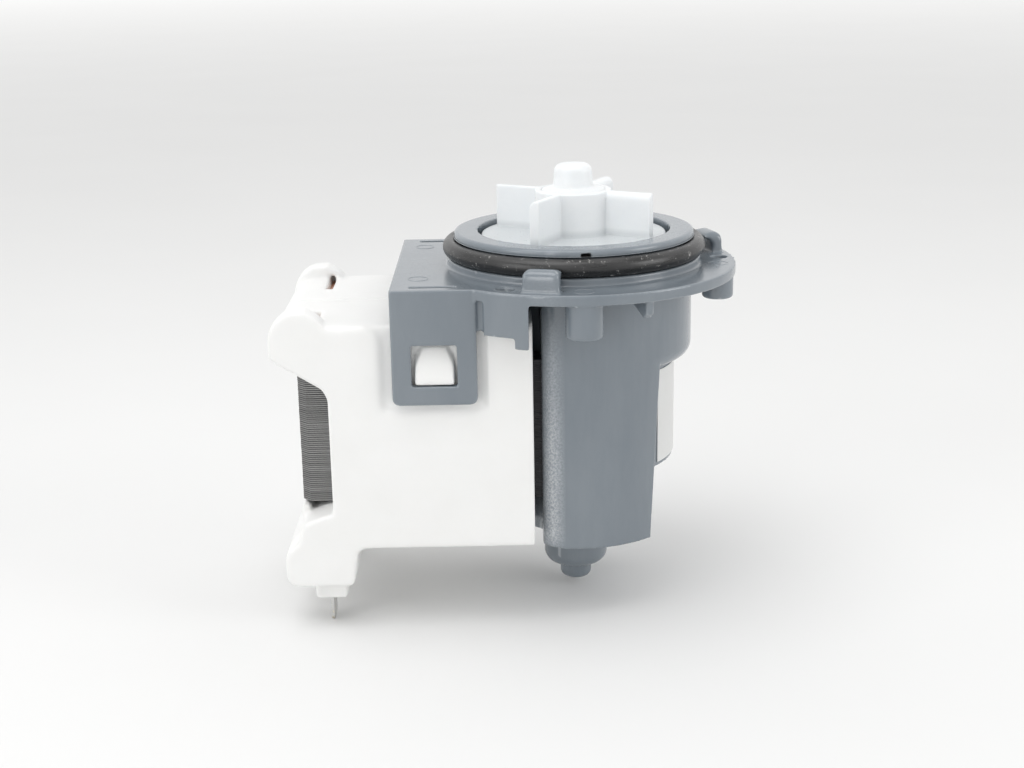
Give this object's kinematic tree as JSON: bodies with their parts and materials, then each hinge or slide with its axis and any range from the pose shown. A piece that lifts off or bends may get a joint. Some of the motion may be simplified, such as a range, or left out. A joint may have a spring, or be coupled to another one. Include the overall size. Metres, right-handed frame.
{
  "type": "washing machine drain pump",
  "caption": "Washing machine drain pump: grey moulded body with seal ring and hooks, white impeller with a loose dog, and a covered coil stator held by clips.",
  "frame": {"origin": "on the rotor axis in the flange's top face", "axes": "+Z along the rotor axis towards the impeller, -X towards the stator's yoke, -Y towards the front clip"},
  "size_m": [0.1103, 0.078, 0.1069],
  "materials": {
    "body_grey": "satin",
    "cover_white": "satin",
    "impeller_white": "satin",
    "seal_rubber": "matte",
    "plate_plastic": "satin",
    "bush_carbon": "satin",
    "shaft_steel": "brushed",
    "washer_plastic": "satin",
    "magnet_ferrite": "matte",
    "core_steel": "matte",
    "bobbin_plastic": "satin",
    "coil_copper": "satin",
    "tab_tin": "satin",
    "label_paper": "matte"
  },
  "bodies": {
    "housing": {"pump_body": "body_grey", "seal_ring": "seal_rubber", "bearing_plate": "plate_plastic", "plate_seal": "seal_rubber", "front_bearing": "bush_carbon", "shaft_seal": "seal_rubber", "rear_cushion": "seal_rubber", "rear_bearing": "bush_carbon", "front_washer": "washer_plastic", "rear_washer": "washer_plastic", "stator_core": "core_steel", "front_bobbin": "bobbin_plastic", "rear_bobbin": "bobbin_plastic", "front_winding": "coil_copper", "rear_winding": "coil_copper", "front_cover": "cover_white", "rear_cover": "cover_white", "front_terminal": "tab_tin", "rear_terminal": "tab_tin", "thermal_fuse": "plate_plastic", "lead_wires": "coil_copper", "blank_label": "label_paper"},
    "rotor": {"rotor_shaft": "shaft_steel", "magnet_carrier": "plate_plastic", "rotor_magnet": "magnet_ferrite", "drive_dog": "plate_plastic"},
    "wheel": {"impeller": "impeller_white", "impeller_cap": "impeller_white"}
  },
  "joints": [
    {"name": "rotor_spin", "type": "hinge", "parent": "housing", "child": "rotor", "pos_m": [0, 0, 0], "axis": [0, 0, 1], "continuous": true},
    {"name": "wheel_play", "type": "hinge", "parent": "rotor", "child": "wheel", "pos_m": [0, 0, 0.012], "axis": [0, 0, 1], "range_deg": [-128, 128]}
  ]
}
